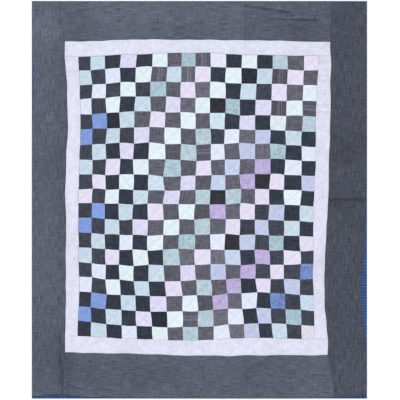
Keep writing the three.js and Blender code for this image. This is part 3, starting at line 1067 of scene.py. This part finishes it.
def creased(x, y, folds):
    """The depth that the creases take from the cloth, with a low lip on one side."""
    depth = np.zeros(len(x))
    for crease in folds:
        start = np.array(crease["start"], float)
        run = np.array(crease["end"], float) - start
        long = np.linalg.norm(run)
        along = ((x - start[0]) * run[0] + (y - start[1]) * run[1]) / long
        away = ((y - start[1]) * run[0] - (x - start[0]) * run[1]) / long
        fade = np.clip(np.minimum(along, long - along) / CREASE_FADES_OVER + 1, 0, 1)
        depth += crease["deep"] * fade * np.exp(-((away / crease["wide"]) ** 2))
        lip = np.exp(-(((away - LIP_AWAY) / crease["wide"]) ** 2))
        depth -= LIP_SHARE * crease["deep"] * fade * lip
    return depth


print(len(creases), "creases")

# %% [markdown]
# A strip's cloth map runs with the strip: v along its length and u across it, so slubs
# streak lengthways as they do in cloth torn along the grain. Its tone carries where years of
# light and washing have faded it, and painted shade at its seams, in its creases and along a
# few joins, with painted light beside some of them.

# %% Where the cloth has faded or is soiled, and where shade and light are painted on
# Each is a place, how far it reaches both ways, and the share of light gained or lost. The
# ones along the left strip's inner seam and its foot join, and the pairs on both sides of the
# right side's joins, are painted shade and painted light.
faded_and_shaded_places = [
    {"x": -700, "y": 150, "reach": (45, 900), "share": -0.13},
    {"x": -780, "y": 890, "reach": (130, 90), "share": 0.24},
    {"x": -770, "y": 190, "reach": (100, 110), "share": -0.12},
    {"x": -780, "y": -760, "reach": (130, 150), "share": -0.16},
    {"x": -690, "y": -820, "reach": (60, 160), "share": -0.10},
    {"x": -630, "y": 890, "reach": (80, 120), "share": -0.20},
    {"x": -540, "y": 960, "reach": (100, 60), "share": 0.10},
    {"x": -300, "y": 960, "reach": (180, 60), "share": 0.14},
    {"x": -60, "y": 850, "reach": (120, 50), "share": -0.12},
    {"x": 510, "y": 880, "reach": (85, 80), "share": -0.19},
    {"x": 720, "y": 270, "reach": (150, 90), "share": -0.14},
    {"x": 720, "y": -20, "reach": (150, 80), "share": -0.16},
    {"x": 760, "y": -900, "reach": (160, 130), "share": 0.10},
    {"x": -560, "y": -880, "reach": (150, 90), "share": -0.13},
    {"x": -320, "y": -900, "reach": (70, 80), "share": -0.16},
    {"x": -160, "y": -870, "reach": (110, 80), "share": -0.10},
    {"x": 260, "y": -900, "reach": (90, 110), "share": -0.12},
    {"x": 430, "y": -880, "reach": (90, 110), "share": -0.08},
    {"x": 670, "y": -890, "reach": (45, 110), "share": -0.07},
    {"x": 600, "y": 910, "reach": (110, 110), "share": -0.05},
    {"x": -705, "y": -880, "reach": (25, 130), "share": -0.08},
    {"x": -800, "y": -940, "reach": (80, 90), "share": -0.05},
    {"x": 667, "y": 925, "reach": (9, 110), "share": -0.05},
    {"x": 684, "y": 925, "reach": (8, 110), "share": 0.06},
    {"x": 676, "y": -850, "reach": (10, 60), "share": -0.05},
    {"x": 700, "y": -960, "reach": (12, 80), "share": 0.06},
]


def faded_and_shaded(x, y, places):
    """Brightness from fading, soiling, painted shade and painted light, 1 where the cloth is as it was."""
    share = np.ones(len(x))
    for spot in places:
        reach_x, reach_y = spot["reach"]
        away = ((x - spot["x"]) / reach_x) ** 2 + ((y - spot["y"]) / reach_y) ** 2
        share += spot["share"] * np.exp(-away)
    return share + 0.05 * bumps(x, y, 120, 21) + 0.08 * bumps(x, y, 32, 22)


print(len(faded_and_shaded_places), "faded places")

# %% Make one border strip
# How high a seam stands, as if it lay that many millimetres from stitching, and how much
# painted shade a seam and a millimetre's depth of crease put on the cloth. A crease's lip gets
# painted light by the same share.
SEAM_STANDS, CABLE_ROUND = 9, 3
SEAM_SHADE, SEAM_SHADE_REACH, CREASE_SHADE = 0.05, 5, 0.25
# How far apart the strips' cloth maps start, in metres, so that no two look alike.
MAPS_APART = 0.7


def make_strip(name, edges, lengthways, limits, cable, material, tone, folds, places, step=3.8):
    """A quilted strip between four edges, with its cable halfway between the two limits."""
    bm, x, y, to_seam = strip_grid(*edges, step)
    middle = sum(limits) / 2
    offset = (x if lengthways else y) - middle
    along = y if lengthways else x
    crossing = cable["cross_y" if lengthways else "cross_x"]
    to_stitches = to_cable(cable, along, crossing, offset)
    nearest = np.minimum(to_stitches + cable["ease"], to_seam + SEAM_STANDS)
    rounded = np.hypot(nearest, CABLE_ROUND) - CABLE_ROUND
    unevenness = puckers(along, to_stitches, 31) + 0.8 * puckers(along, to_seam, 33)
    place_x, place_y = settled(x, y)
    unevenness += 1.3 * wrinkles(along, offset, 35) + 0.5 * bumps(place_x, place_y, 70, 37)
    depth = creased(place_x, place_y, folds)
    unevenness -= depth
    z = puffed(rounded) + unevenness * np.clip(to_seam / RIM_EASE, 0.1, 1)
    z = np.maximum(z, 1.0)
    across_cloth, along_cloth = (x, y) if lengthways else (y, x)
    for face in shape_sheet(bm, place_x, place_y, z, rim_drop=0.1):
        face.material_index = 1
    sheet = make_sheet(name, bm, [material, backing_cloth])
    mesh = sheet.data
    points, whole = read_sheet(mesh, len(x))
    corners = corner_points(mesh)
    away = MAPS_APART * (1 + len(bpy.data.objects))
    across_map, along_map = whole(across_cloth) * MM + away, whole(along_cloth) * MM + away
    add_cloth_map(mesh, across_map[corners], along_map[corners])
    # Painted shade at the seams and in the creases, and painted light on the creases' lips.
    shade = 1 - SEAM_SHADE * np.exp(-to_seam / SEAM_SHADE_REACH) - CREASE_SHADE * depth
    store(mesh, "tone", tone * whole(shade) * faded_and_shaded(points[:, 0], points[:, 1], places))
    store(mesh, "loft", standing(points))
    store(mesh, "to_thread", whole(to_stitches))
    return sheet


print("Strips can be quilted")

# %% [markdown]
# The inner border is a pale lavender cotton. The head and foot strips run the full width
# and the side strips fit between them, which is the simplest way to sew a frame.

# %% The inner border
lavender = cotton("lavender border cotton", (226, 226, 246), slub=0.07, cloud=0.05, stitch_shade=0.03)
INNER_TONE = 0.97
# Places where the inner border is darker or lighter: a place, how far it reaches both ways, and the share
# of light gained or lost.
inner_darker_and_lighter_places = [
    {"x": 632, "y": 700, "reach": (60, 110), "share": -0.06},
    {"x": 632, "y": -360, "reach": (60, 120), "share": -0.06},
    {"x": 632, "y": 80, "reach": (60, 700), "share": -0.02},
    {"x": -650, "y": 200, "reach": (60, 260), "share": 0.05},
]


def flat_size(sheet):
    """The width and length of a sheet's box, in metres."""
    size = np.ptp(place_of_points(sheet.data), axis=0) * MM
    return float(size[0]), float(size[1])


def dress_inner_border():
    """The four strips, each in place of its solid."""
    left, right = still(inner["left"]), still(inner["right"])
    head, foot = still(field["top"]), still(field["bottom"])
    plans = {
        "top": (left, right, head, still(inner["top"])),
        "bottom": (left, right, still(inner["bottom"]), foot),
        "left": (left, still(field["left"]), foot, head),
        "right": (still(field["right"]), right, foot, head),
    }
    strips = {}
    for side, edges in plans.items():
        strip = make_strip(
            f"lavender_strip_{side}", edges, *lines_of(side, field, inner), inner_cable,
            lavender, INNER_TONE, tucks, inner_darker_and_lighter_places, step=3.0
        )
        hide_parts(f"inner_border_{side}")
        strips[side] = strip
    return strips


lavender_strips = dress_inner_border()
print("Inner border:", {side: flat_size(strip) for side, strip in lavender_strips.items()})

# %% [markdown]
# The wide outer border is chambray, woven from blue-grey and white threads, so it looks
# streaked and dusty. The right side was cut from a darker, browner length. The side strips
# run the full length of the quilt. The right one and the head one are each joined from two.

# %% The outer border
blue_chambray = cotton(
    "blue grey chambray", (92, 97, 112), slub=0.8, cross=0.5, cloud=0.3, thread=0.8, stitch_shade=0.04
)
brown_chambray = cotton(
    "dark grey chambray", (75, 79, 91), slub=0.95, cross=0.5, cloud=0.3, thread=0.8, stitch_shade=0.04
)


# How far a side strip's seam has crept to the right by the time that it reaches the edge.
crept = {"left": {"foot": -12, "head": -32}, "right": {"foot": 34, "head": 5}}


def corner_join(side):
    """The seam between a side strip and the head and foot strips, creeping past the corners."""
    def place(along):
        along = np.asarray(along, float)
        past_head = np.clip((along - inner["top"]) / (outer["top"] - inner["top"]), 0, 1)
        past_foot = np.clip((inner["bottom"] - along) / (inner["bottom"] - outer["bottom"]), 0, 1)
        ease = {"head": past_head ** 0.8, "foot": past_foot ** 0.7}
        return inner[side] + sum(crept[side][end] * ease[end] for end in ease)
    return place


def dress_outer_border():
    """The six strips, each in place of its solid."""
    fold = hem_folds
    left, right = corner_join("left"), corner_join("right")
    head, foot = still(inner["top"]), still(inner["bottom"])
    side_join, head_join = still(SIDE_JOIN_Y), still(HEAD_JOIN_X)
    plans = {
        "left": ((fold["left"], left, fold["bottom"], fold["top"]), blue_chambray, 0.98),
        "right_upper": ((right, fold["right"], side_join, fold["top"]), brown_chambray, 0.98),
        "right_lower": ((right, fold["right"], fold["bottom"], side_join), brown_chambray, 0.98),
        "top_long": ((left, head_join, head, fold["top"]), blue_chambray, 1.01),
        "top_short": ((head_join, right, head, fold["top"]), blue_chambray, 0.91),
        "bottom": ((left, right, fold["bottom"], foot), blue_chambray, 0.965),
    }
    strips = {}
    for side, (edges, material, tone) in plans.items():
        strip = make_strip(
            f"chambray_strip_{side}", edges, *lines_of(side, inner, outer), outer_cable,
            material, tone, creases, faded_and_shaded_places
        )
        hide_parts(f"outer_border_{side}")
        strips[side] = strip
    return strips


chambray_strips = dress_outer_border()
print("Outer border:", {side: flat_size(strip) for side, strip in chambray_strips.items()})

# %% [markdown]
# ## The binding
#
# The blue backing is brought round to the front and hemmed down. Its width wanders, and the
# hemming pulls it into short pleats across the edge. The pleats' tops are paler and the
# hollows darker, partly as fading like worn denim and partly as painted light and shade, so
# the tone follows the pleats' height.

# %% The binding's cloth, grid and roll
bright_blue = cotton(
    "blue binding cotton", (28, 50, 96), slub=0.3, cloud=0.2, thread=0.7, top_colour=(76, 114, 176)
)
BINDING_STEP, BINDING_QUADS = 2.4, 8


def binding_grid(edges, lengthways):
    """A narrow grid with a few quads across and one every couple of millimetres along."""
    left, right, bottom, top = edges
    across_shares = marks(0, 1, 1 / BINDING_QUADS if lengthways else BINDING_STEP / WIDTH)
    along_shares = marks(0, 1, BINDING_STEP / LENGTH if lengthways else 1 / BINDING_QUADS)
    bm, column, row = grid_of(across_shares, along_shares)
    s = across_shares[column]
    t = along_shares[row]
    rough_x = outer["left"] + s * WIDTH
    y = bottom(rough_x) + (top(rough_x) - bottom(rough_x)) * t
    gap = SEAM_GAP / 2
    x = left(y) + gap + (right(y) - left(y) - 2 * gap) * s
    return bm, x, y


def binding_profile(share):
    """The height of the rolled edge, from its outer side to its hem."""
    return 1.4 + (BINDING_THICKNESS - 1.7) * np.sin(np.pi * np.clip(share, 0.05, 0.88))


print("The rolled edge is", round(float(binding_profile(0.5)), 2), "mm high")

# %% Make the four bindings
PLEAT, PLEAT_HEIGHT = 12.8, 0.55
# How faded its cloth is between the pleats, and its tone. The foot's has kept more colour.
binding_wear = {edge: (0.42, 0.98) for edge in ("left", "right", "top")} | {"bottom": (0.1, 1.2)}


def make_binding(edge, seed, *edges):
    """One edge's binding, rolled and pleated, in place of its solid."""
    lengthways = edge in ("left", "right")
    bm, x, y = binding_grid(edges, lengthways)
    along = y if lengthways else x
    depth = np.abs((x if lengthways else y) - outer[edge])
    wide = binding_width(edge, along)
    share = np.clip(depth / wide, 0, 1)
    beat = (along + 0.1 * depth) / PLEAT + 0.7 * bumps(along, depth / 4, 34, seed)
    swell = 1 + 0.8 * bumps(along, depth / 4, 40, seed + 1)
    pleats = PLEAT_HEIGHT * np.sin(2 * np.pi * beat) * swell
    lift = pleats * np.sin(np.pi * share) * np.clip(wide / 12, 0.35, 1)
    z = np.maximum(binding_profile(share) + 0.8 * lift, 0.9)
    hem = 0.5 * pleats * np.clip((share - 0.5) * 2, 0, 1) ** 2
    held = INWARD[edge] * np.minimum(hem, 0)
    place_x, place_y = settled(x, y)
    if lengthways:
        place_x = place_x + held
    else:
        place_y = place_y + held
    shape_sheet(bm, place_x, place_y, z, rim_drop=0.3)
    sheet = make_sheet(f"blue_binding_{edge}", bm, [bright_blue])
    mesh = sheet.data
    points, whole = read_sheet(mesh, len(x))
    corners = corner_points(mesh)
    add_cloth_map(mesh, whole(depth)[corners] * MM, whole(along)[corners] * MM + seed)
    wear_and_shade, tone = binding_wear[edge]
    # The pleats' height lightens their tops with painted light and leaves painted shade in the hollows.
    store(mesh, "loft", np.clip(wear_and_shade + 0.9 * whole(lift), 0, 1))
    store(mesh, "tone", tone + 0.14 * bumps(points[:, 0], points[:, 1], 60, seed + 3))
    store(mesh, "to_thread", np.full(len(points), 10.0))
    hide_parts(f"binding_{edge}")
    return sheet


fold, rim = hem_folds, {edge: still(place) for edge, place in outer.items()}
bindings = {
    "left": make_binding("left", 41, rim["left"], fold["left"], rim["bottom"], rim["top"]),
    "right": make_binding("right", 43, fold["right"], rim["right"], rim["bottom"], rim["top"]),
    "top": make_binding("top", 45, fold["left"], fold["right"], fold["top"], rim["top"]),
    "bottom": make_binding("bottom", 47, fold["left"], fold["right"], rim["bottom"], fold["bottom"]),
}
print("Bindings:", {edge: len(strip.data.polygons) for edge, strip in bindings.items()})

# %% [markdown]
# ## The stitches
#
# Hand quilting is a running stitch: a short dash of thread on top, then a gap. Thousands
# of them are needed, so one stitch is a spindle of eight faces, and Geometry Nodes sets it
# down on a point for each stitch. A ray dropped on the finished cloth finds how high the
# stitch lies and how it slopes, so every stitch sits in its own dent.

# %% One stitch, and the nodes that set it down everywhere
STITCH_PITCH, STITCH_LENGTH, THREAD = 4.3, 2.7, 0.45


def stitch_mesh(name, material, long, thick):
    """A spindle of eight faces, lying along X."""
    bm = bmesh.new()
    bmesh.ops.create_uvsphere(bm, u_segments=4, v_segments=2, radius=0.5)
    bmesh.ops.scale(bm, vec=(long * MM, thick * MM, thick * MM), verts=bm.verts)
    for face in bm.faces:
        face.smooth = True
    mesh = bpy.data.meshes.new(name)
    bm.to_mesh(mesh)
    bm.free()
    mesh.materials.append(material)
    return mesh


def stitching_nodes(name, stitch):
    """Geometry Nodes that put one stitch on every point, turned the way the point says."""
    tree = bpy.data.node_groups.new(name, "GeometryNodeTree")
    tree.interface.new_socket("Geometry", in_out="INPUT", socket_type="NodeSocketGeometry")
    tree.interface.new_socket("Geometry", in_out="OUTPUT", socket_type="NodeSocketGeometry")
    enter = tree.nodes.new("NodeGroupInput")
    leave = tree.nodes.new("NodeGroupOutput")
    source = add_node(tree, "GeometryNodeObjectInfo", {"Object": stitch})
    turn = add_node(tree, "GeometryNodeInputNamedAttribute", {"Name": "lie"}, data_type="FLOAT_VECTOR")
    copies = tree.nodes.new("GeometryNodeInstanceOnPoints")
    real = tree.nodes.new("GeometryNodeRealizeInstances")
    tree.links.new(enter.outputs["Geometry"], copies.inputs["Points"])
    tree.links.new(source.outputs["Geometry"], copies.inputs["Instance"])
    tree.links.new(turn.outputs["Attribute"], copies.inputs["Rotation"])
    tree.links.new(copies.outputs["Instances"], real.inputs["Geometry"])
    tree.links.new(real.outputs["Geometry"], leave.inputs["Geometry"])
    return tree


def height_finder(cloth):
    """A function that drops a point onto a cloth from above."""
    tree = BVHTree.FromPolygons(
        [vert.co for vert in cloth.data.vertices], [face.vertices for face in cloth.data.polygons]
    )

    def find(x, y):
        return tree.ray_cast(Vector((x * MM, y * MM, 0.05)), Vector((0, 0, -1)))[0]
    return find


print("A stitch is", STITCH_LENGTH, "mm long, every", STITCH_PITCH, "mm")

# %% Sew a run of stitches onto a cloth
def sew(name, cloth, ends, thread, thick=THREAD, sink=0.12):
    """Stitches between pairs of places, on top of a cloth, as one piece."""
    find = height_finder(cloth)
    middles, turns = [], []
    for (x0, y0), (x1, y1) in ends:
        start, end = find(x0, y0), find(x1, y1)
        if start is None or end is None:
            continue
        run = end - start
        middles.append((start + end) / 2 + Vector((0, 0, (0.3 * thick - sink) * MM)))
        turns.append(run.to_track_quat("X", "Z").to_euler())
    long = float(np.median([math.dist(*pair) for pair in ends]))
    master = bpy.data.objects.new(f"{name}_master", stitch_mesh(f"{name}_master", thread, long, thick))
    points = bpy.data.meshes.new(f"{name}_points")
    points.from_pydata(middles, [], [])
    lie = points.attributes.new("lie", "FLOAT_VECTOR", "POINT")
    lie.data.foreach_set("vector", np.array([tuple(turn) for turn in turns], np.float32).ravel())
    holder = bpy.data.objects.new(f"{name}_holder", points)
    bpy.context.collection.objects.link(holder)
    bpy.context.collection.objects.link(master)
    setting = holder.modifiers.new("stitching", "NODES")
    setting.node_group = stitching_nodes(f"{name}_nodes", master)
    ready = holder.evaluated_get(bpy.context.evaluated_depsgraph_get())
    mesh = bpy.data.meshes.new_from_object(ready)
    mesh.name = name
    piece = bpy.data.objects.new(name, mesh)
    bpy.context.collection.objects.link(piece)
    for used in (holder, master):
        bpy.data.objects.remove(used)
    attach(piece, "root")
    return piece


# How far apart the points of a line of stitching are worked out.
LINE_STEP = 2.0


def running_stitches(x, y, pitch=STITCH_PITCH, long=STITCH_LENGTH):
    """Stitches along a line of closely spaced points: pairs of ends, evenly spaced."""
    steps = np.hypot(np.diff(x), np.diff(y))
    run = np.concatenate([[0], np.cumsum(steps)])
    count = int((run[-1] - long) // pitch)
    slack = (run[-1] - count * pitch - long) / 2
    starts = slack + pitch * np.arange(count + 1)
    heads = np.column_stack([np.interp(starts, run, x), np.interp(starts, run, y)])
    tails = np.column_stack([np.interp(starts + long, run, x), np.interp(starts + long, run, y)])
    return list(zip(heads.tolist(), tails.tolist()))


print("A 100 mm line takes", len(running_stitches(np.arange(101.0), np.zeros(101))), "stitches")

# %% Choose the threads
quilting_thread = plain_material("grey quilting thread", from_screen(138, 140, 154), 0.8)
soft_thread = plain_material("mauve quilting thread", from_screen(196, 186, 206), 0.8)
dark_thread = plain_material("dark blue quilting thread", from_screen(82, 86, 100), 0.8)
pale_thread = plain_material("pale grey thread", from_screen(168, 172, 182), 0.8)
tan_thread = plain_material("tan thread", from_screen(158, 142, 116), 0.8)
print("Five threads are chosen")

# %% Quilt the field from corner to corner of each square
def field_lines():
    """Every diagonal of every square, as pairs of stitch ends."""
    ends = []
    share = np.linspace(0.015, 0.985, 30)
    for row in range(ROWS):
        for column in range(COLUMNS):
            for down in (row + share, row + 1 - share):
                x, y = sewn_place(column + share, down)
                ends += running_stitches(x, y)
    return ends


field_stitches = sew("stitches_field", patchwork_field, field_lines(), quilting_thread)
print(len(field_stitches.data.polygons) // 8, "stitches in the field")

# %% Quilt the borders along both waves
CABLE_END_GAP = 4


def cable_lines(cable, lengthways, limits, low, high):
    """Both waves of a strip, as pairs of stitch ends."""
    along = np.arange(low + CABLE_END_GAP, high - CABLE_END_GAP, LINE_STEP)
    middle = sum(limits) / 2
    crossing = cable["cross_y" if lengthways else "cross_x"]
    ends = []
    for side in (1, -1):
        offset = middle + side * wave(cable, along, crossing)
        x, y = settled(offset, along) if lengthways else settled(along, offset)
        ends += running_stitches(x, y)
    return ends


def quilt_strip(name, strip, cable, lengthways, limits, low, high, thread, slot):
    """One strip's quilting, as one piece."""
    piece = sew(name, strip, cable_lines(cable, lengthways, limits, low, high), thread)
    return piece


# How far each strip's quilting runs. At the quilt's edges it stops short of the binding.
FOOT_END, HEAD_END = outer["bottom"] + 12, outer["top"] - 8
inner_runs = {
    "top": (inner["left"], inner["right"]),
    "bottom": (inner["left"], inner["right"]),
    "left": (field["bottom"], field["top"]),
    "right": (field["bottom"], field["top"]),
}
outer_runs = {
    "left": (FOOT_END, HEAD_END),
    "right_upper": (SIDE_JOIN_Y, HEAD_END),
    "right_lower": (FOOT_END, SIDE_JOIN_Y),
    "top_long": (inner["left"], HEAD_JOIN_X),
    "top_short": (HEAD_JOIN_X, inner["right"]),
    "bottom": (inner["left"], inner["right"]),
}
for side, run in inner_runs.items():
    quilt_strip(
        f"stitches_inner_{side}", lavender_strips[side], inner_cable,
        *lines_of(side, field, inner), *run, soft_thread, "lavender_cotton"
    )
for side, run in outer_runs.items():
    quilt_strip(
        f"stitches_outer_{side}", chambray_strips[side], outer_cable,
        *lines_of(side, inner, outer), *run, dark_thread, "chambray"
    )

# %% [markdown]
# Two more kinds of stitch show. Where the head strip is joined, the seam allowance is
# folded under and sewn down with two rows of pale thread. And the binding is hemmed with a
# tan thread that catches its folded edge every few millimetres.

# %% Sew the head strip's joined seam
def straight_line(start, end):
    """Places along a straight line of the layout, a couple of millimetres apart."""
    count = max(3, round(math.dist(start, end) / LINE_STEP))
    return settled(np.linspace(start[0], end[0], count), np.linspace(start[1], end[1], count))


SEAM_THREAD, SEAM_PITCH, SEAM_STITCH = 0.6, 6.5, 3.0
felled_seam = []
for x in (HEAD_JOIN_X - 16, HEAD_JOIN_X - 1.5):
    line = straight_line((x, inner["top"] + 5), (x, outer["top"] - 9))
    felled_seam += running_stitches(*line, SEAM_PITCH, SEAM_STITCH)
join_stitches = sew(
    "stitches_head_join", chambray_strips["top_long"], felled_seam, pale_thread, SEAM_THREAD
)
print(len(felled_seam), "stitches in the joined seam")

# %% Hem the binding
HEM_THREAD, HEM_PITCH, HEM_STITCH, HEM_INSET, HEM_END_GAP = 1.1, 7.0, 3.2, 1.1, 6


def hem_line(edge):
    """Places a little inside the binding's folded edge, from end to end."""
    lengthways = edge in ("left", "right")
    reach = (LENGTH if lengthways else WIDTH) / 2 - HEM_END_GAP
    along = np.arange(-reach, reach, LINE_STEP)
    hem = hem_fold(edge, HEM_INSET)(along)
    return settled(hem, along) if lengthways else settled(along, hem)


for edge, strip in bindings.items():
    ends = running_stitches(*hem_line(edge), HEM_PITCH, HEM_STITCH)
    sew(f"stitches_hem_{edge}", strip, ends, tan_thread, HEM_THREAD)

# %% Work out how large each cloth is
def declare(sheet):
    """Works out how large one sheet is when it lies flat."""
    width, length = flat_size(sheet)


declare(patchwork_field)
for side, strip in lavender_strips.items():
    declare(strip)
for side, strip in chambray_strips.items():
    declare(strip)

for edge, strip in bindings.items():
    long = LENGTH if edge in ("left", "right") else WIDTH
    shown = binding_width(edge, np.linspace(-long / 2, long / 2, 400))
print("Declared", 1 + len(lavender_strips) + len(chambray_strips) + len(bindings), "cloths")
